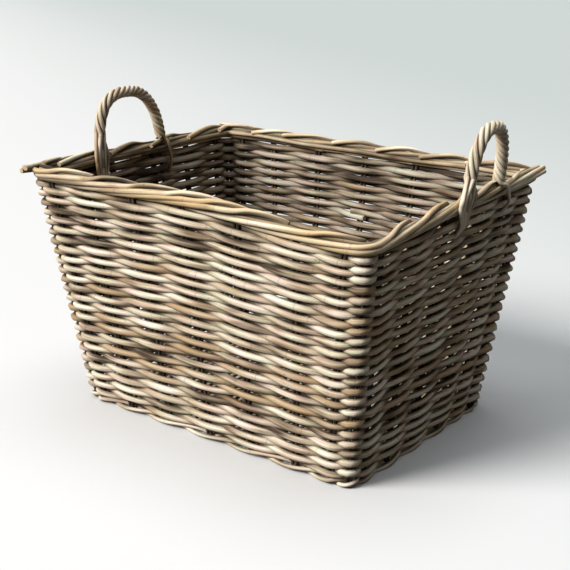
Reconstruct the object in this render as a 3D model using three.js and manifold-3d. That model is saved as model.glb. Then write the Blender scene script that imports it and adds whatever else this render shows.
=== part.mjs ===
// Wicker log basket: a tapered rectangular basket of thick rattan rods in plain weave round
// doubled stakes, with a rolled rod border, a foot row, a woven base and two roped handles.
// Millimetres, +Z up. The origin is on the floor under the middle of the basket.
// +X runs along the long side, and the front faces -Y.

import * as THREE from 'three';
import Module from 'manifold-3d';

const wasm = await Module();
wasm.setup();

// Outside of the basket, over the border and round the foot
const TOP_LENGTH = 624;
const TOP_WIDTH = 466;
const BASE_LENGTH = 520;
const BASE_WIDTH = 370;
const RIM_HEIGHT = 380;
const CORNER_RADIUS = 30;
const CORNER_STEPS = 3;

// Siding between the foot and the border. A row is two rods high: where one passes in front of a
// stake, the next passes behind it.
const WALL_THICKNESS = 21;
const ROW_COUNT = 22;
const ROW_RELIEF = 3;
const FOOT_HEIGHT = 12;
const BORDER_HEIGHT = 26;
const BORDER_THICKNESS = 25;
const BORDER_RODS = 5;
const BORDER_TURN_LENGTH = 480;
const BORDER_GROOVE = 2;
const BORDER_STEP = 20;

// Stakes, each one rod folded double. A column is its place along the siding, from -1 to 1.
const STAKE_DIAMETER = 5;
const STAKE_SPACING = 6.4;
const STAKE_FOOT_Z = 3.5;
const STAKE_HEAD_Z = 371;
const LONG_SIDE_COLUMNS = [-0.95, -0.686, -0.343, 0, 0.343, 0.686, 0.95];
const SHORT_SIDE_COLUMNS = [-0.937, -0.549, -0.14, 0.32, 0.674, 0.95];

// Base: a woven mat on thick sticks
const BASE_BOTTOM_Z = 4.3;
const BASE_THICKNESS = 16;
const BASE_RELIEF = 2.5;
const BASE_ROW_COUNT = 20;
const BASE_STICK_COUNT = 7;
const BASE_STICK_DIAMETER = 9;
const BASE_STICK_PITCH = 50;

// Handles: a bowed core rod with strands roped round it
const CORE_DIAMETER = 9;
const CORE_END_Z = 300;
const ROPE_DIAMETER = 19;
const ROPE_STRANDS = 5;
const ROPE_LAY = 92;
const ROPE_GROOVE = 1.4;
const HANDLE_LEAN = 10;
const HANDLE_SPRING_Z = 360;
const HANDLE_APEX_Z = 462;
const HANDLE_SQUARENESS = 2.6;
const STRAND_DIAMETER = 4.4;
const HANDLES = [
  { name: 'left', side: -1, planeX: 295, centreY: -21, halfSpan: 68, tailFace: -1, tailEndZ: 312 },
  { name: 'right', side: 1, planeX: 304, centreY: 53, halfSpan: 44, tailFace: 1, tailEndZ: 324 },
];

// Gap kept between pieces that touch
const GAP = 0.3;

const COLOURS = {
  siding: 0x8c7d6b,
  corner: 0x84735f,
  border: 0xa08c70,
  stake: 0x6f5e4a,
  foot: 0x7d6d5a,
  base: 0x7a6a57,
  rope: 0xa2917a,
  core: 0x6b5a47,
};

const midInset = WALL_THICKNESS / 2;
const halfLength = (z) => THREE.MathUtils.lerp(BASE_LENGTH, TOP_LENGTH, z / RIM_HEIGHT) / 2;
const halfWidth = (z) => THREE.MathUtils.lerp(BASE_WIDTH, TOP_WIDTH, z / RIM_HEIGHT) / 2;

// Each wall knows the way out of the basket, the way along itself, and how far both go at height z.
const LONG_SIDE = { reach: halfWidth, span: halfLength, columns: LONG_SIDE_COLUMNS };
const SHORT_SIDE = { reach: halfLength, span: halfWidth, columns: SHORT_SIDE_COLUMNS };
const WALLS = [
  { name: 'front', out: [0, -1], along: [1, 0], ...LONG_SIDE },
  { name: 'back', out: [0, 1], along: [-1, 0], ...LONG_SIDE },
  { name: 'right', out: [1, 0], along: [0, 1], ...SHORT_SIDE },
  { name: 'left', out: [-1, 0], along: [0, -1], ...SHORT_SIDE },
];

const CORNERS = [
  { name: 'front_right', x: 1, y: -1 },
  { name: 'back_right', x: 1, y: 1 },
  { name: 'back_left', x: -1, y: 1 },
  { name: 'front_left', x: -1, y: -1 },
];

const group = new THREE.Group();
const asVector = ([x, y]) => new THREE.Vector3(x, y, 0);

function addPiece(name, geometry, colour, roughness = 0.8) {
  geometry.computeVertexNormals();
  const material = new THREE.MeshStandardMaterial({ color: colour, roughness, metalness: 0 });
  const mesh = new THREE.Mesh(geometry, material);
  mesh.name = name;
  group.add(mesh);
}

function signedVolume(points, index) {
  let volume = 0;
  for (let i = 0; i < index.length; i += 3) {
    const [a, b, c] = [points[index[i]], points[index[i + 1]], points[index[i + 2]]];
    volume += a.dot(new THREE.Vector3().crossVectors(b, c)) / 6;
  }
  return volume;
}

// Triangles that close one ring of points, running the same way round as the ring.
function capTriangles(ring) {
  const normal = new THREE.Vector3();
  ring.forEach((point, i) => {
    normal.add(new THREE.Vector3().crossVectors(point, ring[(i + 1) % ring.length]));
  });
  normal.normalize();
  const across = new THREE.Vector3().subVectors(ring[1], ring[0]).projectOnPlane(normal).normalize();
  const up = new THREE.Vector3().crossVectors(normal, across);
  const flat = ring.map((point) => new THREE.Vector2(point.dot(across), point.dot(up)));
  const faces = THREE.ShapeUtils.triangulateShape(flat, []);
  const area = faces.reduce((sum, face) => sum + THREE.ShapeUtils.area(face.map((i) => flat[i])), 0);
  return area > 0 ? faces : faces.map(([a, b, c]) => [a, c, b]);
}

// A solid skinned over rings that have equal numbers of points. A closed loft joins its last ring
// to its first; an open one is capped at both ends.
function loft(rings, closed = false) {
  const count = rings[0].length;
  const points = rings.flat();
  const index = [];
  const spans = closed ? rings.length : rings.length - 1;
  for (let i = 0; i < spans; i++) {
    const near = i * count;
    const far = ((i + 1) % rings.length) * count;
    for (let j = 0; j < count; j++) {
      const k = (j + 1) % count;
      index.push(near + j, far + j, far + k);
      index.push(near + j, far + k, near + k);
    }
  }
  if (!closed) {
    const last = (rings.length - 1) * count;
    capTriangles(rings[0]).forEach(([a, b, c]) => index.push(a, b, c));
    capTriangles(rings[rings.length - 1]).forEach(([a, b, c]) => index.push(last + a, last + c, last + b));
  }
  if (signedVolume(points, index) < 0) index.reverse();
  const geometry = new THREE.BufferGeometry().setFromPoints(points);
  geometry.setIndex(index);
  return geometry;
}

// A section carried along a path. The section lies across the path, [sideways, along normal].
function sweep(path, sectionAt, normal) {
  const rings = path.map((point, i) => {
    const before = path[Math.max(i - 1, 0)];
    const after = path[Math.min(i + 1, path.length - 1)];
    const tangent = new THREE.Vector3().subVectors(after, before).normalize();
    const sideways = new THREE.Vector3().crossVectors(normal, tangent).normalize();
    const upright = new THREE.Vector3().crossVectors(tangent, sideways);
    return sectionAt(i).map(([a, b]) =>
      point.clone().addScaledVector(sideways, a).addScaledVector(upright, b));
  });
  return loft(rings);
}

function polygonSection(radius, sides) {
  const turn = (2 * Math.PI) / sides;
  return Array.from({ length: sides }, (_, i) => [
    radius * Math.cos((i + 0.5) * turn),
    radius * Math.sin((i + 0.5) * turn),
  ]);
}

// A bundle of rods in a ring, seen end on and turned by a twist
function lobedSection(outer, valley, lobes, twist) {
  return Array.from({ length: 2 * lobes }, (_, i) => {
    const angle = twist + (i * Math.PI) / lobes;
    const radius = i % 2 === 0 ? outer : valley;
    return [radius * Math.cos(angle), radius * Math.sin(angle)];
  });
}

function toManifold(geometry) {
  const vertProperties = geometry.attributes.position.array;
  const triVerts = new Uint32Array(geometry.index.array);
  return new wasm.Manifold(new wasm.Mesh({ numProp: 3, vertProperties, triVerts }));
}

function cut(geometry, tools) {
  let solid = toManifold(geometry);
  for (const tool of tools) solid = solid.subtract(toManifold(tool));
  const mesh = solid.getMesh();
  const result = new THREE.BufferGeometry();
  result.setAttribute('position', new THREE.BufferAttribute(new Float32Array(mesh.vertProperties), 3));
  result.setIndex(new THREE.BufferAttribute(new Uint32Array(mesh.triVerts), 1));
  return result;
}

// A point of a wall: its place along the wall, how far in from the outer face, and its height
function wallPoint(wall, along, inset, z) {
  return asVector(wall.along)
    .multiplyScalar(along)
    .addScaledVector(asVector(wall.out), wall.reach(z) - inset)
    .setZ(z);
}

// A point of a rounded corner: the way it faces, how far in from the outer face, and its height
function cornerPoint(corner, angle, inset, z) {
  const radius = CORNER_RADIUS - inset;
  const x = halfLength(z) - CORNER_RADIUS + radius * Math.cos(angle);
  const y = halfWidth(z) - CORNER_RADIUS + radius * Math.sin(angle);
  return new THREE.Vector3(corner.x * x, corner.y * y, z);
}

const cornerAngle = (step) => (step / CORNER_STEPS) * (Math.PI / 2);

// Section of the siding, [inset, z]: crests at the middle of each row, valleys between rows
function sidingSection() {
  const bottom = FOOT_HEIGHT + GAP;
  const pitch = (RIM_HEIGHT - BORDER_HEIGHT - GAP - bottom) / ROW_COUNT;
  const face = Array.from({ length: 2 * ROW_COUNT + 1 }, (_, i) => [
    i % 2 === 0 ? ROW_RELIEF : 0,
    bottom + (i * pitch) / 2,
  ]);
  const inside = face.map(([inset, z]) => [WALL_THICKNESS - inset, z]).reverse();
  return [...face, ...inside];
}

function sidingPanel(wall) {
  const halfRun = (z) => wall.span(z) - CORNER_RADIUS - GAP;
  return loft([-1, 1].map((end) =>
    sidingSection().map(([inset, z]) => wallPoint(wall, end * halfRun(z), inset, z))));
}

function cornerSiding(corner) {
  const rings = Array.from({ length: CORNER_STEPS + 1 }, (_, step) =>
    sidingSection().map(([inset, z]) => cornerPoint(corner, cornerAngle(step), inset, z)));
  return loft(rings);
}

const columnPoint = (wall, column, z) =>
  wallPoint(wall, column * (wall.span(z) - CORNER_RADIUS), midInset, z);

// The two legs of a folded stake stand side by side along the wall and meet in a bend at the foot.
function stake(foot, head, along) {
  const bendRadius = STAKE_SPACING / 2;
  const axis = new THREE.Vector3().subVectors(head, foot).normalize();
  const sideways = along.clone().projectOnPlane(axis).normalize();
  const bendCentre = foot.clone().addScaledVector(axis, bendRadius + STAKE_DIAMETER / 2);
  const bendSteps = 3;
  const path = [head.clone().addScaledVector(sideways, bendRadius)];
  for (let i = 0; i <= bendSteps; i++) {
    const angle = (i / bendSteps) * Math.PI;
    const point = bendCentre.clone().addScaledVector(sideways, bendRadius * Math.cos(angle));
    path.push(point.addScaledVector(axis, -bendRadius * Math.sin(angle)));
  }
  path.push(head.clone().addScaledVector(sideways, -bendRadius));
  const section = polygonSection(STAKE_DIAMETER / 2, 6);
  return sweep(path, () => section, new THREE.Vector3().crossVectors(axis, sideways));
}

// The space a stake needs: a slot with round ends, from below its bend to above its head
function stakeSlot(foot, head, along) {
  const axis = new THREE.Vector3().subVectors(head, foot).normalize();
  const sideways = along.clone().projectOnPlane(axis).normalize();
  const across = new THREE.Vector3().crossVectors(axis, sideways);
  const radius = STAKE_DIAMETER / 2 + GAP;
  const outline = [];
  for (const end of [1, -1]) {
    for (let i = 0; i <= 3; i++) {
      const angle = (i / 3 - 0.5) * Math.PI;
      const reach = STAKE_SPACING / 2 + radius * Math.cos(angle);
      outline.push([end * reach, end * radius * Math.sin(angle)]);
    }
  }
  const ends = [foot.clone().addScaledVector(axis, -GAP), head.clone().addScaledVector(axis, GAP)];
  return loft(ends.map((end) => outline.map(([a, b]) =>
    end.clone().addScaledVector(sideways, a).addScaledVector(across, b))));
}

function footRing() {
  const bevel = 2;
  const section = [
    [bevel, 0],
    [0, bevel],
    [0, FOOT_HEIGHT - bevel],
    [bevel, FOOT_HEIGHT],
    [WALL_THICKNESS - bevel, FOOT_HEIGHT],
    [WALL_THICKNESS, FOOT_HEIGHT - bevel],
    [WALL_THICKNESS, bevel],
    [WALL_THICKNESS - bevel, 0],
  ];
  const rings = CORNERS.flatMap((corner, i) => {
    const steps = Array.from({ length: CORNER_STEPS + 1 }, (_, step) => cornerAngle(step));
    const angles = i % 2 === 0 ? steps.reverse() : steps;
    return angles.map((angle) => section.map(([inset, z]) => cornerPoint(corner, angle, inset, z)));
  });
  return loft(rings, true);
}

// One side's border: a roll of rods that turns slowly as it runs, mitred at the corners
const borderCentreZ = RIM_HEIGHT - BORDER_HEIGHT / 2;
const borderInset = BORDER_THICKNESS / 2;

function borderStations(wall) {
  const mitreGap = 0.012; // radians, so that the ends of neighbouring sides stay apart
  const bends = [Math.PI / 4 - mitreGap, Math.PI / 8];
  const straight = wall.span(RIM_HEIGHT) - CORNER_RADIUS;
  const steps = Math.round(straight / BORDER_STEP);
  const middle = Array.from({ length: steps + 1 }, (_, i) => (
    { along: straight * ((2 * i) / steps - 1), bend: 0 }));
  const start = bends.map((bend) => ({ along: -straight, bend: -bend }));
  const finish = bends.map((bend) => ({ along: straight, bend })).reverse();
  return [...start, ...middle, ...finish];
}

function borderRoll(wall) {
  const outer = BORDER_THICKNESS / 2;
  return loft(borderStations(wall).map(({ along, bend }) => {
    const twist = (2 * Math.PI * (along + bend * outer)) / BORDER_TURN_LENGTH;
    const section = lobedSection(outer, outer - BORDER_GROOVE, BORDER_RODS, twist);
    return section.map(([a, b]) => {
      const radius = CORNER_RADIUS - borderInset + a;
      const place = asVector(wall.along).multiplyScalar(along + radius * Math.sin(bend));
      const reach = wall.reach(RIM_HEIGHT) - CORNER_RADIUS + radius * Math.cos(bend);
      return place.addScaledVector(asVector(wall.out), reach).setZ(borderCentreZ + b);
    });
  }));
}

// Base mat: rows of weavers that run from front to back over sticks that run from left to right
const baseMidZ = BASE_BOTTOM_Z + BASE_THICKNESS / 2;
const baseHalfLength = BASE_LENGTH / 2 - WALL_THICKNESS - 2 * GAP;
const baseHalfWidth = BASE_WIDTH / 2 - WALL_THICKNESS - 2 * GAP;

function baseMat() {
  const pitch = (2 * baseHalfLength) / BASE_ROW_COUNT;
  const top = Array.from({ length: 2 * BASE_ROW_COUNT + 1 }, (_, i) => [
    (i * pitch) / 2 - baseHalfLength,
    BASE_THICKNESS / 2 - (i % 2 === 0 ? BASE_RELIEF : 0),
  ]);
  const outline = [...top, ...top.map(([x, z]) => [x, -z]).reverse()];
  const bevel = CORNER_RADIUS - WALL_THICKNESS;
  const bevelY = baseHalfWidth - bevel;
  const stations = [[-baseHalfWidth, bevel], [-bevelY, 0], [bevelY, 0], [baseHalfWidth, bevel]];
  return loft(stations.map(([y, shortening]) => outline.map(([x, z]) =>
    new THREE.Vector3(x * (1 - shortening / baseHalfLength), y, baseMidZ + z))));
}

function baseStick(y, diameter, halfRun) {
  const path = [-1, 1].map((end) => new THREE.Vector3(end * halfRun, y, baseMidZ));
  const section = polygonSection(diameter / 2, 8);
  return sweep(path, () => section, new THREE.Vector3(0, 0, 1));
}

// Handle centre line: each leg rises out of the wall, and the bow leans out a little
function handleX(handle, z) {
  const inWall = halfLength(z) - midInset;
  const above = handle.planeX + HANDLE_LEAN * ((z - RIM_HEIGHT) / (HANDLE_APEX_Z - RIM_HEIGHT));
  const wallTop = RIM_HEIGHT - BORDER_HEIGHT;
  const blend = THREE.MathUtils.smoothstep(z, wallTop, RIM_HEIGHT);
  return handle.side * THREE.MathUtils.lerp(inWall, above, blend);
}

function bowPoint(handle, angle) {
  const power = 2 / HANDLE_SQUARENESS;
  const across = -Math.cos(angle);
  const y = handle.centreY + Math.sign(across) * Math.abs(across) ** power * handle.halfSpan;
  const rise = Math.abs(Math.sin(angle)) ** power * (HANDLE_APEX_Z - HANDLE_SPRING_Z);
  const z = HANDLE_SPRING_Z + rise;
  return new THREE.Vector3(handleX(handle, z), y, z);
}

function bowPath(handle, steps, fromAngle) {
  return Array.from({ length: steps + 1 }, (_, i) =>
    bowPoint(handle, fromAngle + (i / steps) * (Math.PI - 2 * fromAngle)));
}

function handleCore(handle, diameter, extra = 0) {
  const wallTop = RIM_HEIGHT - BORDER_HEIGHT;
  const legHeights = [CORE_END_Z - extra, (CORE_END_Z + wallTop) / 2, wallTop];
  const leg = (end) => legHeights.map((z) =>
    new THREE.Vector3(handleX(handle, z), handle.centreY + end * handle.halfSpan, z));
  const path = [...leg(-1), ...bowPath(handle, 14, 0.04), ...leg(1).reverse()];
  const section = polygonSection(diameter / 2, 6);
  return sweep(path, () => section, new THREE.Vector3(1, 0, 0));
}

// Angle on the bow where the rope starts, just clear of the top of the border
function ropeStartAngle(handle) {
  const start = RIM_HEIGHT + 1.5;
  let angle = 0;
  while (bowPoint(handle, angle).z < start) angle += 0.002;
  return angle;
}

function handleRope(handle) {
  const path = bowPath(handle, 32, ropeStartAngle(handle));
  let travelled = 0;
  const sections = path.map((point, i) => {
    if (i > 0) travelled += point.distanceTo(path[i - 1]);
    const twist = (-2 * Math.PI * travelled) / ROPE_LAY;
    const radius = ROPE_DIAMETER / 2;
    return lobedSection(radius, radius - ROPE_GROOVE, ROPE_STRANDS, twist).reverse();
  });
  return sweep(path, (i) => sections[i], new THREE.Vector3(1, 0, 0));
}

// Strand ends that leave the rope, pass over one face of the border and lie down the wall.
// face is 1 for the outside of the basket and -1 for the inside.
function strandTails(handle, end, strands) {
  const clear = STRAND_DIAMETER / 2 + GAP;
  const y = handle.centreY + end * handle.halfSpan;
  const borderX = halfLength(RIM_HEIGHT) - borderInset;
  const bendRadius = BORDER_THICKNESS / 2 + clear;
  const path = [40, 60, 80, 100].map((degrees) => {
    const angle = THREE.MathUtils.degToRad(degrees);
    const x = borderX + handle.tailFace * bendRadius * Math.sin(angle);
    return new THREE.Vector3(handle.side * x, y, borderCentreZ + bendRadius * Math.cos(angle));
  });
  const wallTop = RIM_HEIGHT - BORDER_HEIGHT;
  for (let i = 0; i <= 2; i++) {
    const z = THREE.MathUtils.lerp(wallTop - GAP, handle.tailEndZ, i / 2);
    const inset = handle.tailFace > 0 ? -clear : WALL_THICKNESS + clear;
    path.push(new THREE.Vector3(handle.side * (halfLength(z) - inset), y, z));
  }
  const width = strands * STRAND_DIAMETER;
  const face = Array.from({ length: 2 * strands + 1 }, (_, i) => [
    i % 2 === 0 ? STRAND_DIAMETER / 3 : STRAND_DIAMETER / 2,
    (i / (2 * strands) - 0.5) * width,
  ]);
  const section = [...face, ...face.map(([a, b]) => [-a, b]).reverse()];
  return sweep(path, () => section, new THREE.Vector3(0, 1, 0));
}

// Stakes and the slots they stand in
const slots = [];
for (const wall of WALLS) {
  const along = asVector(wall.along);
  wall.slots = wall.columns.map((column, i) => {
    const foot = columnPoint(wall, column, STAKE_FOOT_Z);
    const head = columnPoint(wall, column, STAKE_HEAD_Z);
    addPiece(`${wall.name}_stake_${i + 1}`, stake(foot, head, along), COLOURS.stake);
    return stakeSlot(foot, head, along);
  });
  slots.push(...wall.slots);
}

const cornerPostTop = RIM_HEIGHT - BORDER_HEIGHT - 2 * GAP;
for (const corner of CORNERS) {
  const foot = cornerPoint(corner, Math.PI / 4, midInset, STAKE_FOOT_Z);
  const head = cornerPoint(corner, Math.PI / 4, midInset, cornerPostTop);
  const along = new THREE.Vector3(-corner.x, corner.y, 0);
  const slot = stakeSlot(foot, head, along);
  addPiece(`corner_post_${corner.name}`, stake(foot, head, along), COLOURS.stake);
  addPiece(`corner_siding_${corner.name}`, cut(cornerSiding(corner), [slot]), COLOURS.corner);
  slots.push(slot);
}
addPiece('foot_row', cut(footRing(), slots), COLOURS.foot);

// Siding and border of each wall, bored for the handle that stands on it
for (const wall of WALLS) {
  const handle = HANDLES.find(({ name }) => name === wall.name);
  const bores = handle ? [handleCore(handle, CORE_DIAMETER + 2 * GAP, GAP)] : [];
  addPiece(`${wall.name}_siding`, cut(sidingPanel(wall), [...wall.slots, ...bores]), COLOURS.siding);
  addPiece(`${wall.name}_border`, cut(borderRoll(wall), [...wall.slots, ...bores]), COLOURS.border);
}

// Base sticks, which run through the mat and end just inside its edges
const sticks = Array.from({ length: BASE_STICK_COUNT }, (_, i) =>
  (i - (BASE_STICK_COUNT - 1) / 2) * BASE_STICK_PITCH);
const stickBores = sticks.map((y) => baseStick(y, BASE_STICK_DIAMETER + 2 * GAP, baseHalfLength + 1));
addPiece('base_mat', cut(baseMat(), stickBores), COLOURS.base);
sticks.forEach((y, i) => {
  const stick = baseStick(y, BASE_STICK_DIAMETER, baseHalfLength - CORNER_RADIUS / 2);
  addPiece(`base_stick_${i + 1}`, stick, COLOURS.stake);
});

for (const handle of HANDLES) {
  const bore = handleCore(handle, CORE_DIAMETER + 2 * GAP);
  addPiece(`${handle.name}_handle_core`, handleCore(handle, CORE_DIAMETER), COLOURS.core);
  addPiece(`${handle.name}_handle_rope`, cut(handleRope(handle), [bore]), COLOURS.rope);
  addPiece(`${handle.name}_handle_tails_front`, strandTails(handle, -1, ROPE_STRANDS), COLOURS.rope);
  addPiece(`${handle.name}_handle_tail_back`, strandTails(handle, 1, 1), COLOURS.rope);
}

export default group;
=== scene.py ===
"""Looks of the wicker log basket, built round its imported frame. Metres, +Z up, the front faces -Y.

Every rod is a bent tube with its own shade. The walls are plain weave: where one rod passes outside
a stake, the rods above and below it pass inside."""

import bpy
import numpy as np
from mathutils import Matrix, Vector


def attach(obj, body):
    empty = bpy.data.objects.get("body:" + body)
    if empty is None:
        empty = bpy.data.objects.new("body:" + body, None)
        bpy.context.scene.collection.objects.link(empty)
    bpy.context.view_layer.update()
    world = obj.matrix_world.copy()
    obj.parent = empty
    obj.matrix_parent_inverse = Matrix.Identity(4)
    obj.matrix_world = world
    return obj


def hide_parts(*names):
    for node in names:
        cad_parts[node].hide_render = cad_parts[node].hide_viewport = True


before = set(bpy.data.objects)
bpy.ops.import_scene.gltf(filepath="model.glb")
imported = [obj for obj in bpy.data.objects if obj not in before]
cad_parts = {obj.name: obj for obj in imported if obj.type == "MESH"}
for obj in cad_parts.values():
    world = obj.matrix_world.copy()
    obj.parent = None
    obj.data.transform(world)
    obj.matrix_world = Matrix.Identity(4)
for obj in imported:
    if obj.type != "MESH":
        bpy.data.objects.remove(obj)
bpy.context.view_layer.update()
chance = np.random.default_rng(41)

# ---- Sizes -------------------------------------------------------------------------------------

# Outer faces of the walls, level with the rim and the floor
RIM_Z = 0.380
CORNER_RADIUS = 0.030
TOP_HALF = np.array((0.312, 0.233))
BASE_HALF = np.array((0.260, 0.185))

# The rim's dip at the front right corner and its swell on the front, with how far each reaches
CORNER_DIP = 0.015
DIP_REACH = 0.17
FRONT_SWELL = 0.004
SWELL_AT = 0.25
SWELL_REACH = 0.10

# Weaving rods: the middle of the wall under its outer face, how far rods swing from it, and joints
WALL_MIDDLE = 0.0105
WEAVE_LOW = 0.0123
WEAVE_HIGH = 0.3537
WEAVE_DEPTH = 0.0056
WEAVE_RADIUS = 0.0049
WEAVE_FLAT = 0.93
# How pale the inner sides of the weaving rods are: kept low so that the inside of the basket is painted
# darker, as painted shade.
INSIDE_WEAR_AND_SHADE = 0.17
ROD_ROWS = 44
WEAVE_STEP = 0.0072
LEVEL_WANDER = 0.07
JOINT_REACH = 0.15
JOINT_ROOM = 0.06
JOINT_SLIDE = 0.75
JOINT_LIFT = 0.0041
END_DRIFT = 0.011
# Rows ANYWHERE_FROM, and every ANYWHERE_EVERY after it, may be joined in any wall
ANYWHERE_EVERY = 9
ANYWHERE_FROM = 4

# Stakes, each a rod folded double
STAKE_RADIUS = 0.0026
STAKE_SPREAD = 0.0032
STAKE_FOOT_Z = 0.0062
STAKE_HEAD_Z = 0.370
POST_HEAD_Z = 0.352
STAKE_STEPS = 26

# Border: the middle of its roll, and the rods that run round it
BORDER_INSET = 0.0125
BORDER_Z = 0.367
BORDER_ROLL = 0.0086
BORDER_RADIUS = 0.0040
BORDER_PITCH = 0.0855
BORDER_LEAD = 0.16
BORDER_STEPS = 72
HOOP_RADIUS = 0.0036
HOOP_LEVELS = (196, 250)

FOOT_Z = 0.006
FOOT_RADIUS = 0.003
FOOT_DEPTH = 0.0065

# Base: rods woven across sticks
MAT_Z = 0.0123
MAT_HALF = np.array((0.2430, 0.1680))
MAT_PITCH = 0.0062
MAT_RADIUS = 0.00275
MAT_DEPTH = 0.00525
MAT_STEPS = 56
STICK_COUNT = 7
STICK_PITCH = 0.050
STICK_HALF = 0.2380
STICK_SECTION = (0.0025, 0.0045)
STICK_STEPS = 30

# Handles: strands roped round a core, each turning once in one lay
ROPE_ROLL = 0.0060
ROPE_STRANDS = 5
STRAND_RADIUS = 0.0033
TAIL_RADIUS = 0.0026
CORE_RADIUS = 0.0030
LONG_LAY = 0.095
SHORT_LAY = 0.047

# Unevenness of every rod: two swellings along it (share of its radius, length), how oval it is,
# and the dome of a cut end
SLOW_SWELL = (0.035, 0.017)
QUICK_SWELL = (0.02, 0.0071)
OVALNESS = 0.03
END_DOME = 0.0003

UP = (0.0, 0.0, 1.0)

# ---- Camera, floor and light -------------------------------------------------------------------

CAMERA_PLACE = (1.0058, -1.2868, 0.7270)
CAMERA_AIM = (0, 0, 0.19)
FLOOR_REACH = 30


def look_at(thing, place, target):
    thing.location = place
    aim = Vector(target) - Vector(place)
    thing.rotation_euler = aim.to_track_quat("-Z", "Y").to_euler()
    bpy.context.collection.objects.link(thing)


def add_camera():
    camera = bpy.data.cameras.new("camera")
    camera.sensor_width = 36
    camera.lens = 70.8
    camera.shift_x = 0.0036
    camera.shift_y = 0.0020
    camera.clip_end = 60
    holder = bpy.data.objects.new("camera", camera)
    look_at(holder, CAMERA_PLACE, CAMERA_AIM)
    bpy.context.scene.camera = holder


def add_sun(name, place, strength, softness, colour):
    lamp = bpy.data.lights.new(name, "SUN")
    lamp.energy = strength
    lamp.angle = softness
    lamp.color = colour
    look_at(bpy.data.objects.new(name, lamp), place, (0, 0, 0))


def add_floor():
    reach = FLOOR_REACH
    mesh = bpy.data.meshes.new("floor")
    corners = [(-reach, -reach, 0), (reach, -reach, 0), (reach, reach, 0), (-reach, reach, 0)]
    mesh.from_pydata(corners, [], [(0, 1, 2, 3)])
    floor = bpy.data.objects.new("floor", mesh)
    bpy.context.collection.objects.link(floor)
    mesh.materials.append(floor_paper_painted_falloff())
    floor.visible_diffuse = False


def floor_paper_painted_falloff():
    """Pale paper, painted darker and a little bluer to the right and far away: painted falloff of the
    light.
    """
    material = bpy.data.materials.new("floor")
    material.use_nodes = True
    tree = material.node_tree
    place = tree.nodes.new("ShaderNodeNewGeometry")
    across = tree.nodes.new("ShaderNodeVectorMath")
    across.operation = "DOT_PRODUCT"
    across.inputs[1].default_value = (0.50, 0.86, 0)
    ramp = tree.nodes.new("ShaderNodeMapRange")
    ramp.interpolation_type = "SMOOTHSTEP"
    ramp.inputs["From Min"].default_value = -0.9
    ramp.inputs["From Max"].default_value = 2.3
    blend = tree.nodes.new("ShaderNodeMix")
    blend.data_type = "RGBA"
    # Painted falloff of the light: pale near the left, darker grey-blue far to the right.
    blend.inputs[6].default_value = (0.635, 0.635, 0.645, 1)
    blend.inputs[7].default_value = (0.40, 0.44, 0.435, 1)
    tree.links.new(place.outputs["Position"], across.inputs[0])
    tree.links.new(across.outputs["Value"], ramp.inputs["Value"])
    tree.links.new(ramp.outputs[0], blend.inputs[0])
    shader = tree.nodes["Principled BSDF"]
    tree.links.new(blend.outputs[2], shader.inputs["Base Color"])
    shader.inputs["Roughness"].default_value = 0.9
    return material


def add_sky():
    world = bpy.data.worlds.new("studio")
    world.use_nodes = True
    background = world.node_tree.nodes["Background"]
    background.inputs["Color"].default_value = (1.0, 0.94, 0.86, 1)
    background.inputs["Strength"].default_value = 0.065
    bpy.context.scene.world = world


add_camera()
add_sun("key", (-0.70, -1.26, 1.15), 5.0, 0.5, (1.0, 0.97, 0.93))
add_sun("top", (0.0, 0.1, 1.0), 1.8, 0.9, (0.94, 0.97, 1.0))
add_floor()
add_sky()
bpy.context.scene.view_settings.view_transform = "Standard"

# ---- The way round the basket ------------------------------------------------------------------

# Ways out of the front, right, back and left walls, and ways along them
OUT = np.array([(0, -1), (1, 0), (0, 1), (-1, 0)], float)
ALONG = np.array([(1, 0), (0, 1), (-1, 0), (0, -1)], float)
SIDES = ("front", "right", "back", "left")
CORNERS = ("front_right", "back_right", "back_left", "front_left")
LONG_COLUMNS = (-0.95, -0.686, -0.343, 0, 0.343, 0.686, 0.95)
SHORT_COLUMNS = (-0.937, -0.549, -0.14, 0.32, 0.674, 0.95)
MIDDLE_Z = 0.19


def way_marks(z, inset):
    """Distances gone round the basket at the places 0 to 8."""
    half = BASE_HALF + (TOP_HALF - BASE_HALF) * z / RIM_Z - CORNER_RADIUS
    bend = np.pi / 2 * (CORNER_RADIUS - inset)
    steps = [2 * half[0], bend, 2 * half[1], bend] * 2
    return np.concatenate([[0], np.cumsum(steps)])


WALL_MARKS = way_marks(MIDDLE_Z, WALL_MIDDLE)


def rim_sag(place):
    """The rim was made by hand: it dips at the front right corner and swells along the front."""
    gone = np.interp(place, np.arange(9), WALL_MARKS)
    dip = -CORNER_DIP * np.exp(-(((gone - WALL_MARKS[1]) / DIP_REACH) ** 2))
    return dip + FRONT_SWELL * np.exp(-(((gone - SWELL_AT) / SWELL_REACH) ** 2))


def around(place, inset, z):
    """Points under the outer face, and the ways out there. From place 0 to 1 runs the front wall,
    from 1 to 2 the corner after it, and so on up to 8."""
    place, inset, z = np.broadcast_arrays(np.mod(place, 8.0), inset, z)
    side = (place // 2).astype(int)
    within = place - 2 * side
    half = BASE_HALF + (TOP_HALF - BASE_HALF) * z[..., None] / RIM_Z - CORNER_RADIUS
    is_long = side % 2 == 0
    span = np.where(is_long, half[..., 0], half[..., 1])
    reach = np.where(is_long, half[..., 1], half[..., 0])
    along = (2 * np.clip(within, 0, 1) - 1) * span
    turn = np.clip(within - 1, 0, 1) * np.pi / 2
    out = np.cos(turn)[..., None] * OUT[side] + np.sin(turn)[..., None] * ALONG[side]
    centre = OUT[side] * reach[..., None] + ALONG[side] * along[..., None]
    flat = centre + out * (CORNER_RADIUS - inset)[..., None]
    point = np.concatenate([flat, (z + rim_sag(place) * (z / RIM_Z) ** 2)[..., None]], -1)
    return point, np.concatenate([out, np.zeros_like(z)[..., None]], -1)


def place_after(distance, marks):
    turns = np.floor_divide(distance, marks[-1])
    return 8 * turns + np.interp(distance - turns * marks[-1], marks, np.arange(9))


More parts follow.
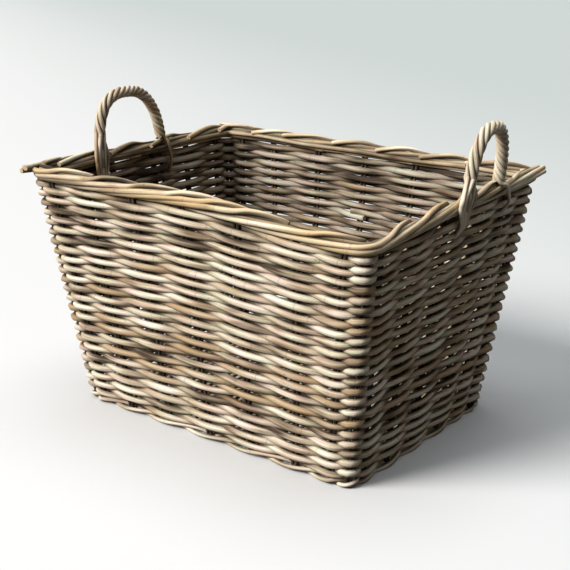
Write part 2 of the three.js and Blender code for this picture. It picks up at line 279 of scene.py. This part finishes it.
def stake_places():
    places = []
    for side in range(4):
        columns = LONG_COLUMNS if side % 2 == 0 else SHORT_COLUMNS
        places += [2 * side + (column + 1) / 2 for column in columns] + [2 * side + 1.5]
    return np.array(places)


STAKES = stake_places()
STAKE_COUNT = len(STAKES)
BACK_RIGHT_POST = len(LONG_COLUMNS) + 1 + len(SHORT_COLUMNS)
STAKE_MARKS = np.interp(STAKES, np.arange(9), WALL_MARKS)
STAKE_MARKS = np.append(STAKE_MARKS, STAKE_MARKS[0] + WALL_MARKS[-1])


def distance_at(beat):
    """Distance gone round the wall at a count of stakes."""
    turns = np.floor_divide(beat, STAKE_COUNT)
    within = np.interp(beat - turns * STAKE_COUNT, np.arange(STAKE_COUNT + 1), STAKE_MARKS)
    return within + turns * WALL_MARKS[-1]


def smooth(x):
    x = np.clip(x, 0, 1)
    return x * x * (3 - 2 * x)


# ---- Rods --------------------------------------------------------------------------------------


def unit(vectors):
    return vectors / np.maximum(np.linalg.norm(vectors, axis=-1, keepdims=True), 1e-9)


class Rods:
    """Rods gathered into one mesh. Each point of it keeps where it is in its rod's grain, its
    rod's two chance numbers, how worn it is mixed with painted light and shade, and whether it is
    on a cut end."""

    def __init__(self, sides=10):
        self.sides = sides
        self.points, self.grain, self.tone, self.faces, self.caps = [], [], [], [], []
        self.count = 0

    def keep(self, points, grain, tone):
        self.points.append(points)
        self.grain.append(grain)
        self.tone.append(tone)
        start = self.count
        self.count += len(points)
        return start

    def add(self, path, side, radius, wear=1.0, back_wear=0.0, flat=1.0, tone=None, age=None):
        """path: the middle of the rod. side: roughly the way one of its sides faces. The two wear
        values, for that side and the far one: 1 where it is rubbed pale and painted as lit, 0 where
        it is painted dark as shade. flat: the radius towards side, as a share of radius."""
        rings = len(path)
        tangent = unit(np.gradient(path, axis=0))
        a = unit(side - (side * tangent).sum(-1, keepdims=True) * tangent)
        b = np.cross(tangent, a)
        step = np.linalg.norm(np.diff(path, axis=0), axis=-1)
        gone = np.concatenate([[0], np.cumsum(step)])
        seed = chance.random(3)
        tone = chance.random() if tone is None else tone
        age = chance.random() if age is None else age
        wave = 1 + SLOW_SWELL[0] * np.sin(gone / SLOW_SWELL[1] + 9 * seed[0])
        wave = wave + QUICK_SWELL[0] * np.sin(gone / QUICK_SWELL[1] + 9 * seed[1])
        radius = np.broadcast_to(radius, rings) * wave
        angle = np.arange(self.sides) * 2 * np.pi / self.sides
        cos, sin = np.cos(angle), np.sin(angle)
        oval = 1 + OVALNESS * np.cos(2 * angle + 6 * seed[2])
        ra = (radius * flat)[:, None] * (cos * oval)[None]
        rb = radius[:, None] * (sin * oval)[None]
        points = path[:, None] + ra[..., None] * a[:, None] + rb[..., None] * b[:, None]
        lengthwise = np.broadcast_to((gone + 5 * seed[0])[:, None], ra.shape)
        grain = np.stack([lengthwise, ra + seed[1], rb + seed[2]], -1)
        wear, back_wear = np.broadcast_to(wear, rings), np.broadcast_to(back_wear, rings)
        # Painted light and shade: a side is paler the more it faces out and the more it is worn and lit,
        # and goes towards painted shade where it faces into the weave.
        worn_and_lit = np.where(cos > 0, wear[:, None] * cos, -back_wear[:, None] * cos)
        shades = np.stack([np.full_like(worn_and_lit, tone), np.full_like(worn_and_lit, age), worn_and_lit, 0 * worn_and_lit], -1)
        start = self.keep(points.reshape(-1, 3), grain.reshape(-1, 3), shades.reshape(-1, 4))
        ring = start + np.arange(rings - 1)[:, None] * self.sides
        j = np.arange(self.sides)
        k = (j + 1) % self.sides
        quads = np.stack([ring + j, ring + k, ring + self.sides + k, ring + self.sides + j], -1)
        self.faces.append(quads.reshape(-1, 4))
        for end, way in ((0, -1), (-1, 1)):
            middle = path[end] + way * END_DOME * tangent[end]
            self.cap(points[end], grain[end], shades[end], middle, way)

    def cap(self, ring, grain, shades, middle, way):
        """A cut end, slightly domed."""
        points = np.vstack([ring, middle])
        grain = np.vstack([grain, grain.mean(0)])
        shades = np.vstack([shades, shades.mean(0)])
        shades[:, 3] = 1
        start = self.keep(points, grain, shades)
        j = start + np.arange(self.sides)
        k = start + (np.arange(self.sides) + 1) % self.sides
        hub = np.full(self.sides, start + self.sides)
        self.caps.append(np.stack([k, j, hub] if way < 0 else [j, k, hub], -1))

    def build(self, name, material, nodes):
        mesh = bpy.data.meshes.new(name)
        points = np.vstack(self.points)
        quads, caps = np.vstack(self.faces), np.vstack(self.caps)
        corners = np.concatenate([quads.ravel(), caps.ravel()])
        sizes = np.concatenate([np.full(len(quads), 4), np.full(len(caps), 3)])
        starts = np.concatenate([[0], np.cumsum(sizes)[:-1]])
        mesh.vertices.add(len(points))
        mesh.vertices.foreach_set("co", points.ravel())
        mesh.loops.add(len(corners))
        mesh.loops.foreach_set("vertex_index", corners)
        mesh.polygons.add(len(sizes))
        mesh.polygons.foreach_set("loop_start", starts)
        mesh.update(calc_edges=True)
        mesh.polygons.foreach_set("use_smooth", np.ones(len(sizes), bool))
        grain = mesh.attributes.new("grain", "FLOAT_VECTOR", "POINT")
        grain.data.foreach_set("vector", np.vstack(self.grain).ravel())
        tone = mesh.attributes.new("tone", "FLOAT_COLOR", "POINT")
        tone.data.foreach_set("color", np.vstack(self.tone).ravel())
        mesh.materials.append(material)
        mesh.validate()
        piece = bpy.data.objects.new(name, mesh)
        bpy.context.collection.objects.link(piece)
        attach(piece, "root")
        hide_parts(*nodes)


# ---- Materials ---------------------------------------------------------------------------------

LEAF_GAP = 0.085
RING_WIDTH = 0.0016


class Nodes:
    """Short ways to add nodes to a material."""

    def __init__(self, name):
        self.material = bpy.data.materials.new(name)
        self.material.use_nodes = True
        self.tree = self.material.node_tree
        self.shader = self.tree.nodes["Principled BSDF"]

    def put(self, target, value):
        if isinstance(value, bpy.types.NodeSocket):
            self.tree.links.new(value, target)
        else:
            target.default_value = value

    def maths(self, operation, a, b=0.0, c=0.0):
        node = self.tree.nodes.new("ShaderNodeMath")
        node.operation = operation
        for socket, value in zip(node.inputs, (a, b, c)):
            self.put(socket, value)
        return node.outputs[0]

    def spread(self, value, low, high, to_low=0.0, to_high=1.0):
        node = self.tree.nodes.new("ShaderNodeMapRange")
        for name, number in zip(("Value", "From Min", "From Max", "To Min", "To Max"),
                                (value, low, high, to_low, to_high)):
            self.put(node.inputs[name], number)
        return node.outputs[0]

    def mix(self, amount, a, b, blend="MIX"):
        node = self.tree.nodes.new("ShaderNodeMix")
        node.data_type = "RGBA"
        node.blend_type = blend
        self.put(node.inputs[0], amount)
        self.put(node.inputs[6], a)
        self.put(node.inputs[7], b)
        return node.outputs[2]

    def noise(self, vector, stretch, detail=2.0, roughness=0.5):
        scale = self.tree.nodes.new("ShaderNodeVectorMath")
        scale.operation = "MULTIPLY"
        self.put(scale.inputs[0], vector)
        scale.inputs[1].default_value = stretch
        node = self.tree.nodes.new("ShaderNodeTexNoise")
        node.inputs["Scale"].default_value = 1.0
        node.inputs["Detail"].default_value = detail
        node.inputs["Roughness"].default_value = roughness
        self.put(node.inputs["Vector"], scale.outputs[0])
        return node.outputs[0]

    def attribute(self, name):
        node = self.tree.nodes.new("ShaderNodeAttribute")
        node.attribute_name = name
        return node


def colour(red, green, blue):
    """A colour given as it looks on a screen, from 0 to 255."""
    linear = [((v / 255 + 0.055) / 1.055) ** 2.4 for v in (red, green, blue)]
    return (*linear, 1.0)


def rod_lightness(n, rod, worn_and_lit, patch, streak):
    """Lightness from the rod, its patches, its wear with painted light (sides that bulge out are paler)
    and its streaks.
    """
    light = n.maths("MULTIPLY_ADD", rod, 0.34, -0.17)
    light = n.maths("ADD", light, n.spread(patch, 0.32, 0.68, -0.02, 0.80))
    # Painted light: outer bulges made paler, partly as rubbing and partly as painted light.
    light = n.maths("MULTIPLY_ADD", worn_and_lit, 0.30, light)
    return n.maths("ADD", light, n.spread(streak, 0.28, 0.72, -0.22, 0.22))


def with_cast(n, wood, grain):
    """A pinkish or greenish cast that comes and goes along the rod."""
    cast = n.spread(n.noise(grain, (26, 90, 90), 2.0, 0.6), 0.36, 0.64)
    tint = n.mix(cast, colour(255, 236, 228), colour(243, 250, 226))
    return n.mix(0.8, wood, tint, "MULTIPLY")


def with_honey(n, wood, grain, age, honey, honey_share):
    """Honey patches, mostly on honey_share of the rods."""
    warm = n.noise(grain, (8, 60, 60), 1.0)
    some = n.spread(age, 1 - honey_share, 1.0, 0.0, 0.45)
    honeyed = n.spread(n.maths("ADD", warm, some), 0.55, 0.85, 0.0, 0.85)
    return n.mix(honeyed, wood, honey)


def leaf_rings(n, grain, streak):
    """1 on the thin rings where leaves grew, twice LEAF_GAP apart, and 0 between them."""
    apart = n.tree.nodes.new("ShaderNodeSeparateXYZ")
    n.put(apart.inputs[0], grain)
    along = n.maths("ADD", apart.outputs[0], n.maths("MULTIPLY", streak, 0.004))
    return n.spread(n.maths("PINGPONG", along, LEAF_GAP), 0.0, RING_WIDTH, 1.0, 0.0)


def roughen(n, fibre, streak, ringed):
    height = n.maths("MULTIPLY_ADD", fibre, 0.6, n.maths("MULTIPLY", streak, 0.5))
    height = n.maths("SUBTRACT", height, n.maths("MULTIPLY", ringed, 0.5))
    bump = n.tree.nodes.new("ShaderNodeBump")
    bump.inputs["Strength"].default_value = 0.6
    bump.inputs["Distance"].default_value = 0.0007
    n.put(bump.inputs["Height"], height)
    n.put(n.shader.inputs["Normal"], bump.outputs[0])


def rattan(name, deep, body, pale, honey, honey_share, painted_shade=0.7):
    """Weathered rattan: grey-brown, streaked along the rod, patched with honey, paler where it is
    rubbed and where painted light falls on its outer bulges, painted near-black as shade in the
    recesses between rods and on sides facing in, ringed where leaves grew and straw-coloured on cut
    ends."""
    n = Nodes(name)
    grain = n.attribute("grain").outputs["Vector"]
    tone = n.attribute("tone")
    parts = n.tree.nodes.new("ShaderNodeSeparateColor")
    n.put(parts.inputs[0], tone.outputs["Color"])
    rod, age, worn_and_lit = parts.outputs
    fibre = n.noise(grain, (22, 900, 900), 3.0, 0.6)
    streak = n.noise(grain, (9, 260, 260), 2.0)
    patch = n.noise(grain, (11, 40, 40), 2.0)
    fleck = n.noise(grain, (170, 900, 900), 2.0)
    ringed = leaf_rings(n, grain, streak)

    light = rod_lightness(n, rod, worn_and_lit, patch, streak)
    dark_to_body = n.mix(n.spread(light, 0.0, 0.5), deep, body)
    wood = n.mix(n.spread(light, 0.42, 1.0), dark_to_body, pale)
    wood = with_honey(n, with_cast(n, wood, grain), grain, age, honey, honey_share)
    wood = n.mix(n.spread(fibre, 0.30, 0.62, 0.42, 0.0), wood, deep)
    wood = n.mix(n.spread(fleck, 0.66, 0.74, 0.0, 0.7), wood, deep)
    # Painted shade: near-black brown where a side is neither rubbed nor lit, in the recesses between
    # rods, behind stakes and on sides facing in.
    wood = n.mix(n.spread(worn_and_lit, 0.0, 0.55, painted_shade, 0.0), wood, colour(30, 21, 14))
    wood = n.mix(n.maths("MULTIPLY", ringed, 0.3), wood, deep)

    ends = n.mix(n.spread(fibre, 0.35, 0.65), colour(150, 120, 85), colour(226, 208, 176))
    n.put(n.shader.inputs["Base Color"], n.mix(tone.outputs["Alpha"], wood, ends))
    n.put(n.shader.inputs["Roughness"], n.spread(light, 0.0, 1.0, 0.78, 0.52))
    n.shader.inputs["Specular IOR Level"].default_value = 0.35
    roughen(n, fibre, streak, ringed)
    return n.material


WEAVE_SKIN = rattan("weave_rattan", colour(66, 51, 38), colour(208, 192, 173), colour(252, 247, 240),
                    colour(184, 153, 112), 0.25)
BORDER_SKIN = rattan("border_rattan", colour(74, 60, 44), colour(192, 174, 148), colour(250, 240, 222),
                     colour(206, 176, 130), 0.4)
STAKE_SKIN = rattan("stake_rattan", colour(34, 27, 21), colour(96, 84, 72), colour(150, 138, 124),
                    colour(120, 96, 66), 0.15)
ROPE_SKIN = rattan("rope_rattan", colour(82, 70, 56), colour(208, 194, 176), colour(246, 240, 229),
                   colour(184, 156, 120), 0.15, 0.5)

# ---- Walls -------------------------------------------------------------------------------------


def wander(beat, count, size):
    """A smooth, slow, chance wave round the basket for each of count rows."""
    total = np.zeros((count, len(beat)))
    for cycles in range(1, 7):
        phase = chance.random((count, 1)) * 2 * np.pi
        height = chance.normal(0, size / 2.2, (count, 1))
        total += height * np.cos(2 * np.pi * cycles * beat[None] / STAKE_COUNT + phase)
    return total


LEVEL_BEATS = np.linspace(0, STAKE_COUNT, 12 * STAKE_COUNT + 1)


def row_levels():
    """Heights of the middles of the rods, row by row, at LEVEL_BEATS."""
    low = np.linspace(0, 1, ROD_ROWS)
    spread = 1 + 0.15 * np.exp(-(((low - 0.27) / 0.13) ** 2)) - 0.05 * (low > 0.85)
    gaps = spread[:, None] * (1 + wander(LEVEL_BEATS, ROD_ROWS, LEVEL_WANDER))
    tops = np.cumsum(gaps, axis=0)
    scale = (WEAVE_HIGH - WEAVE_LOW) / tops[-1]
    return WEAVE_LOW + (tops - gaps / 2) * scale


LEVELS = row_levels()


def row_height(row, beat):
    return np.interp(np.mod(beat, STAKE_COUNT), LEVEL_BEATS, LEVELS[row])


def joint_stakes(row):
    """Stakes that the row passes inside, with room for a joint. All but a few rows are joined in
    the front or the right wall."""
    gaps = np.diff(STAKE_MARKS)
    wide = [i for i in range(STAKE_COUNT) if (i + row) % 2 and min(gaps[i], gaps[i - 1]) > JOINT_ROOM]
    return wide if row % ANYWHERE_EVERY == ANYWHERE_FROM else [i for i in wide if i < BACK_RIGHT_POST]


def weave_row(rods, row):
    """One rod all the way round, whose ends lie over each other inside a stake."""
    choices = joint_stakes(row)
    start = choices[chance.integers(len(choices))]
    end = start + STAKE_COUNT
    thickness = WEAVE_RADIUS * (1 + chance.normal(0, 0.035))
    marks = distance_at(np.array([start - JOINT_REACH, end + JOINT_REACH]))
    distance = np.linspace(*marks, int((marks[1] - marks[0]) / WEAVE_STEP))
    dense = np.linspace(start - JOINT_REACH, end + JOINT_REACH, 4000)
    beat = np.interp(distance, distance_at(dense), dense)
    swing = np.cos(np.pi * (beat + row))
    before = smooth((start + JOINT_SLIDE - beat) / JOINT_SLIDE)
    after = smooth((beat - end + JOINT_SLIDE) / JOINT_SLIDE)
    inset = WALL_MIDDLE - WEAVE_DEPTH * swing
    resting = np.clip(np.maximum(start - beat, beat - end), 0, None)
    inset = np.where(resting > 0, WALL_MIDDLE + WEAVE_DEPTH + END_DRIFT * resting, inset)
    z = row_height(row, beat) + JOINT_LIFT * (after - before)
    path, out = around(place_after(distance, WALL_MARKS), inset, z)
    taper = np.linspace(1.05, 0.95, len(path))
    # Painted light and shade: paler where the rod bulges out past a stake, darker where it passes behind
    # one, and darker on the inside of the basket.
    rods.add(path, out, thickness * taper, wear=0.5 + 0.5 * swing,
             back_wear=INSIDE_WEAR_AND_SHADE * (1 - swing), flat=WEAVE_FLAT)


def build_weave():
    names = [f"{side}_siding" for side in SIDES] + [f"corner_siding_{corner}" for corner in CORNERS]
    bands = ("weave_low", "weave_lower", "weave_upper", "weave_high")
    rows = ROD_ROWS // len(bands)
    for i, name in enumerate(bands):
        rods = Rods()
        for row in range(i * rows, (i + 1) * rows):
            weave_row(rods, row)
        rods.build(name, WEAVE_SKIN, names)


def add_stake(rods, place, head_z):
    """One rod folded double at its foot."""
    heights = np.linspace(head_z, STAKE_FOOT_Z + STAKE_SPREAD, STAKE_STEPS)
    bend = np.linspace(0, np.pi, 8)[1:-1]
    z = np.concatenate([heights, STAKE_FOOT_Z + STAKE_SPREAD * (1 - np.sin(bend)), heights[::-1]])
    leg = np.ones(STAKE_STEPS)
    aside = np.concatenate([leg, np.cos(bend), -leg]) * STAKE_SPREAD
    sway = 0.0006 * np.sin(z / 0.035 + 6 * chance.random())
    path, out = around(place, WALL_MIDDLE + sway, z)
    along = np.stack([-out[:, 1], out[:, 0], 0 * z], -1)
    rods.add(path + along * (aside + sway)[:, None], out, STAKE_RADIUS, wear=0.2, back_wear=0.3)


def build_stakes():
    index = 0
    for side, corner in zip(SIDES, CORNERS):
        count = len(LONG_COLUMNS) if side in ("front", "back") else len(SHORT_COLUMNS)
        rods = Rods(8)
        for _ in range(count):
            add_stake(rods, STAKES[index], STAKE_HEAD_Z)
            index += 1
        names = [f"{side}_stake_{i + 1}" for i in range(count)]
        rods.build(f"{side}_stakes", STAKE_SKIN, names)
        post = Rods(8)
        add_stake(post, STAKES[index], POST_HEAD_Z)
        index += 1
        post.build(f"{corner}_post_rods", STAKE_SKIN, [f"corner_post_{corner}"])


def build_foot():
    rods = Rods()
    beat = np.linspace(0, STAKE_COUNT, 14 * STAKE_COUNT)
    place = place_after(distance_at(beat), WALL_MARKS)
    for turn in (0, np.pi):
        inset = WALL_MIDDLE - FOOT_DEPTH * np.cos(np.pi * beat + turn)
        z = FOOT_Z + FOOT_RADIUS * np.sin(np.pi * beat + turn)
        path, out = around(place, inset, z)
        rods.add(path, out, FOOT_RADIUS, back_wear=0.5)
    rods.build("foot_rods", WEAVE_SKIN, ["foot_row"])


# ---- Border ------------------------------------------------------------------------------------

BORDER_MARKS = way_marks(BORDER_Z, BORDER_INSET)


def border_path(distance, angle, roll):
    place = place_after(distance, BORDER_MARKS)
    path, out = around(place, BORDER_INSET - roll * np.cos(angle), BORDER_Z + roll * np.sin(angle))
    facing = out * np.cos(angle)[:, None] + np.array(UP) * np.sin(angle)[:, None]
    return path, facing


def border_rod(rods, start):
    """A rod that comes up outside, runs along, rolls quickly over the top and ends cut off inside."""
    first, crest, last = np.radians((-100, 38, 158)) + chance.normal(0, 0.09, 3)
    climb, over = 0.235 + chance.normal(0, 0.012), 0.095 + chance.normal(0, 0.008)
    distance = np.linspace(0, climb + over, BORDER_STEPS)
    outside = first + (crest - first) * distance / climb
    inside = crest + (last - crest) * (distance - climb) / over
    share = smooth((distance - climb + 0.03) / 0.06)
    angle = outside * (1 - share) + inside * share
    lift = 0.0020 * smooth((distance - climb) / 0.03)
    lift = lift + 0.0012 * smooth((distance - climb - over + 0.02) / 0.02)
    roll = BORDER_ROLL - 0.0004 + lift + 0.0006 * np.sin(distance / 0.05 + 6 * chance.random())
    path, facing = border_path(start + distance, angle, roll)
    thickness = BORDER_RADIUS * (1 + chance.normal(0, 0.06))
    rods.add(path, facing, thickness * np.linspace(1.04, 0.94, BORDER_STEPS))


def border_hoops(rods):
    """Rods inside the roll and along its inner side."""
    distance = np.linspace(0, BORDER_MARKS[-1], 300)
    for turn in range(3):
        angle = distance / BORDER_MARKS[-1] * 2 * np.pi * 5 + turn * 2 * np.pi / 3
        path, facing = border_path(distance, angle, HOOP_RADIUS)
        rods.add(path, facing, HOOP_RADIUS, wear=0.3)
    for level in HOOP_LEVELS:
        angle = np.radians(level) + 0.12 * np.sin(distance / 0.09) + 0.10 * np.sin(distance / 0.031)
        path, facing = border_path(distance, angle, 0.0080)
        rods.add(path, facing, HOOP_RADIUS, wear=0.5, tone=0.35, age=0.1)


def corner_tip(rods, side, level, over):
    """The end of a rod of one side, which runs on straight past the corner. level: its angle round
    the roll, in degrees. over: how far it stands past the corner."""
    angle = np.radians(level + np.linspace(-60, 0, 20))
    reach = np.linspace(-0.085, CORNER_RADIUS + over, 20)
    inset = BORDER_INSET - BORDER_ROLL * np.cos(angle)
    path, out = around(2 * side + 0.9999, inset, BORDER_Z + BORDER_ROLL * np.sin(angle))
    path = path + np.append(ALONG[side], 0) * reach[:, None]
    facing = out * np.cos(angle)[:, None] + np.array(UP) * np.sin(angle)[:, None]
    rods.add(path, facing, BORDER_RADIUS * 0.95)


def build_border():
    starts = np.arange(0, BORDER_MARKS[-1] - 0.04, BORDER_PITCH)
    starts = starts + chance.normal(0, 0.007, len(starts)) - BORDER_LEAD
    tips = {
        "front": (),
        "right": ((20, 0.005), (62, 0.008), (104, 0.003)),
        "back": ((40, 0.003), (90, 0.002)),
        "left": ((20, 0.007), (62, 0.004), (104, 0.006)),
    }
    for side, name in enumerate(SIDES):
        rods = Rods(12)
        low, high = BORDER_MARKS[2 * side], BORDER_MARKS[2 * side + 2]
        for start in starts:
            middle = np.mod(start + BORDER_LEAD, BORDER_MARKS[-1])
            if low <= middle < high:
                border_rod(rods, start)
        for level, over in tips[name]:
            corner_tip(rods, side, level, over)
        if name == "back":
            border_hoops(rods)
        rods.build(f"{name}_border_rods", BORDER_SKIN, [f"{name}_border"])


# ---- Base --------------------------------------------------------------------------------------


def build_sticks():
    bars = Rods()
    for y in (np.arange(STICK_COUNT) - STICK_COUNT // 2) * STICK_PITCH:
        x = np.linspace(-STICK_HALF, STICK_HALF, STICK_STEPS)
        level = np.full(STICK_STEPS, MAT_Z)
        path = np.stack([x, np.full(STICK_STEPS, y) + 0.0006 * np.sin(x / 0.05 + y), level], -1)
        bars.add(path, np.tile(UP, (STICK_STEPS, 1)), STICK_SECTION[1], wear=0.4,
                 flat=STICK_SECTION[0] / STICK_SECTION[1])
    names = [f"base_stick_{i + 1}" for i in range(STICK_COUNT)]
    bars.build("base_sticks", STAKE_SKIN, names)


def build_mat():
    mat = Rods(8)
    edge = MAT_HALF[0] - MAT_RADIUS
    for i, x in enumerate(np.linspace(-edge, edge, int(2 * edge / MAT_PITCH))):
        shortening = 0.004 * smooth((abs(x) - MAT_HALF[0] + 0.03) / 0.03)
        y = np.linspace(-MAT_HALF[1] + shortening, MAT_HALF[1] - shortening, MAT_STEPS)
        swing = np.cos(np.pi * (y / STICK_PITCH + i))
        path = np.stack([np.full(MAT_STEPS, x), y, MAT_Z + MAT_DEPTH * swing], -1)
        # Painted light and shade: paler where a mat rod rises over a stick, darker where it dips under
        # one.
        mat.add(path, np.tile(UP, (MAT_STEPS, 1)), MAT_RADIUS, wear=0.5 + 0.5 * swing,
                back_wear=0.5 - 0.5 * swing)
    mat.build("base_weave", WEAVE_SKIN, ["base_mat"])


# ---- Handles -----------------------------------------------------------------------------------

HANDLE_LEAN = 0.010
LEAN_FROM_Z = 0.354
SPRING_Z = 0.360
APEX_Z = 0.462
SQUARENESS = 2.6
ROPE_FOOT_Z = 0.379
LEG_END_Z = 0.300
LEG_STEPS = 11
ROPE_STEPS = 110
BEND_STEPS = 9
OUTSIDE_SPREAD = 0.0056
INSIDE_SPREAD = 0.0051


def wall_x(side, inset, z):
    return side * (BASE_HALF[0] + (TOP_HALF[0] - BASE_HALF[0]) * z / RIM_Z - inset)


def handle_x(side, plane_x, z):
    """The handle rises out of the middle of the wall and leans out a little above it."""
    in_wall = wall_x(1, WALL_MIDDLE, z)
    above = plane_x + HANDLE_LEAN * (z - RIM_Z) / (APEX_Z - RIM_Z)
    share = smooth((z - LEAN_FROM_Z) / (RIM_Z - LEAN_FROM_Z))
    return side * (in_wall + (above - in_wall) * share)


def bow(side, plane_x, centre_y, half_span, low_z):
    """Middle line of a handle's arch, from its near leg (-Y) to its far leg, from low_z up."""
    angle = np.linspace(0, np.pi, 800)
    power = 2 / SQUARENESS
    across = -np.cos(angle)
    y = centre_y + np.sign(across) * np.abs(across) ** power * half_span
    z = SPRING_Z + np.sin(angle) ** power * (APEX_Z - SPRING_Z)
    points = np.stack([handle_x(side, plane_x, z), y, z], -1)[z >= low_z]
    gone = np.concatenate([[0], np.cumsum(np.linalg.norm(np.diff(points, axis=0), axis=-1))])
    even = np.linspace(0, gone[-1], ROPE_STEPS)
    return np.stack([np.interp(even, gone, points[:, i]) for i in range(3)], -1), even


def bend_through(points, steps):
    """A smooth curve through points, with an even number of steps between each two."""
    points = np.array(points, float)
    padded = np.vstack([2 * points[0] - points[1], points, 2 * points[-1] - points[-2]])
    t = np.linspace(0, 1, steps, endpoint=False)[:, None]
    curve = []
    for a, b, c, d in zip(padded, padded[1:], padded[2:], padded[3:]):
        curve.append(0.5 * (2 * b + (c - a) * t + (2 * a - 5 * b + 4 * c - d) * t**2
                            + (3 * b - a - 3 * c + d) * t**3))
    return np.vstack([*curve, points[-1:]])


# Stops of the flat tails: how far under the wall's outer face, how high, how wide, and how far
# along the wall from the leg
INSIDE_TAIL = (
    (0.0272, 0.376, 1.12, -0.008),
    (0.0276, 0.361, 1.0, -0.010),
    (0.0256, 0.348, 1.0, -0.010),
    (0.0244, 0.332, 0.92, -0.010),
    (0.0180, 0.312, 0.7, -0.010),
)
OUTSIDE_TAIL = (
    (-0.0034, 0.379, 1.45, -0.015),
    (-0.0044, 0.366, 1.35, -0.019),
    (-0.0036, 0.352, 0.85, -0.019),
    (-0.0022, 0.338, 0.5, -0.017),
    (0.0080, 0.320, 0.3, -0.015),
)
# Stops of the one loose strand of the far leg, with how far along the wall it has gone
LOOSE_INSIDE = (
    (0.0275, 0.372, 0.003),
    (0.0265, 0.356, 0.006),
    (0.0242, 0.340, 0.008),
    (0.0150, 0.318, 0.009),
)
LOOSE_OUTSIDE = (
    (-0.0032, 0.374, 0.009),
    (-0.0038, 0.360, 0.018),
    (-0.0030, 0.345, 0.024),
    (0.0080, 0.326, 0.020),
)
# Step of the rope, from its foot, at which its strands turn into the tails
TAIL_START = 11


def rope_strands(side, middle, gone, phase, long_share):
    """Middle lines of the strands round the middle line, and the ways they are from it. The lay
    gets shorter past long_share of the way."""
    tangent = unit(np.gradient(middle, axis=0))
    outward = np.tile((float(side), 0.0, 0.0), (len(middle), 1))
    a = unit(outward - (outward * tangent).sum(-1, keepdims=True) * tangent)
    b = np.cross(tangent, a)
    share = gone / gone[-1]
    lay = LONG_LAY + (SHORT_LAY - LONG_LAY) * smooth((share - long_share + 0.15) / 0.3)
    turned = phase - np.concatenate([[0], np.cumsum(2 * np.pi * np.diff(gone) / lay[1:])])
    strands = []
    for strand in range(ROPE_STRANDS):
        angle = turned + strand * 2 * np.pi / ROPE_STRANDS
        aim = np.cos(angle)[:, None] * a + np.sin(angle)[:, None] * b
        strands.append((middle + ROPE_ROLL * aim, aim))
    return sorted(strands, key=lambda strand: strand[0][TAIL_START, 1])


def with_tail(path, aim, stops, side, leg_y, aside, to_face):
    """The strand with its tail on the near leg: its path, facing and radius."""
    tail = [(wall_x(side, inset, z), leg_y + lean + aside * width, z) for inset, z, width, lean in stops]
    guides = [*tail[::-1], path[TAIL_START], path[TAIL_START + 4]]
    curve = bend_through(guides, BEND_STEPS)[:-BEND_STEPS]
    blend = smooth(np.linspace(0, 1, len(curve)))[:, None]
    facing = unit(to_face * (1 - blend) + aim[TAIL_START] * blend + 1e-6)
    whole = np.vstack([curve[:-1], path[TAIL_START:]])
    facing = np.vstack([facing[:-1], aim[TAIL_START:]])
    thick = np.full(len(whole), STRAND_RADIUS)
    thick[: len(curve)] = np.linspace(TAIL_RADIUS, STRAND_RADIUS, len(curve))
    return whole, facing, thick


def with_loose_end(path, strand, stops, side, to_face):
    """The strand with its end carried on down the wall from the far leg."""
    whole, facing, thick = strand
    drop = [(wall_x(side, inset, z), path[-1, 1] + far, z) for inset, z, far in stops]
    end = bend_through([path[-4], path[-1], *drop], BEND_STEPS)[BEND_STEPS:]
    whole = np.vstack([whole[:-1], end])
    facing = np.vstack([facing[:-1], np.tile(to_face, (len(end), 1)) + 1e-6])
    thick = np.concatenate([thick[:-1], np.linspace(STRAND_RADIUS, TAIL_RADIUS * 0.8, len(end))])
    return whole, facing, thick


def build_core(name, side, plane_x, middle):
    core = Rods()
    z = np.linspace(LEG_END_Z, ROPE_FOOT_Z, LEG_STEPS + 1)[:-1]
    near = np.stack([handle_x(side, plane_x, z), np.full(LEG_STEPS, middle[0, 1]), z], -1)
    rear = np.stack([handle_x(side, plane_x, z), np.full(LEG_STEPS, middle[-1, 1]), z], -1)[::-1]
    path = np.vstack([near, middle, rear])
    core.add(path, np.tile((float(side), 0, 0), (len(path), 1)), CORE_RADIUS, wear=0.3)
    core.build(f"{name}_handle_core_rod", STAKE_SKIN, [f"{name}_handle_core"])


def build_handle(name, side, plane_x, centre_y, half_span, face, phase, long_share):
    """Strands roped round a core. On the near leg they spread into a flat tail on the outer face
    of the wall where face is 1, and on its inner face where it is -1."""
    middle, gone = bow(side, plane_x, centre_y, half_span, ROPE_FOOT_Z)
    strands = rope_strands(side, middle, gone, phase, long_share)
    spread = OUTSIDE_SPREAD if face > 0 else INSIDE_SPREAD
    stops = OUTSIDE_TAIL if face > 0 else INSIDE_TAIL
    loose_stops = LOOSE_OUTSIDE if face > 0 else LOOSE_INSIDE
    to_face = np.array((float(side * face), 0, 0))
    loose = int(np.argmax([aim[-1] @ to_face for _, aim in strands]))
    rope = Rods(12)
    for slot, (path, aim) in enumerate(strands):
        aside = (slot - (ROPE_STRANDS - 1) / 2) * spread
        strand = with_tail(path, aim, stops, side, middle[0, 1], aside, to_face)
        if slot == loose:
            strand = with_loose_end(path, strand, loose_stops, side, to_face)
        rope.add(*strand, tone=0.35 + 0.5 * chance.random())
    rope.build(f"{name}_handle_strands", ROPE_SKIN,
               [f"{name}_handle_rope", f"{name}_handle_tails_front", f"{name}_handle_tail_back"])
    build_core(name, side, plane_x, middle)


build_weave()
build_stakes()
build_foot()
build_border()
build_sticks()
build_mat()
build_handle("left", -1, 0.295, -0.021, 0.068, face=-1, phase=0.4, long_share=0.42)
build_handle("right", 1, 0.304, 0.053, 0.044, face=1, phase=1.0, long_share=0.42)
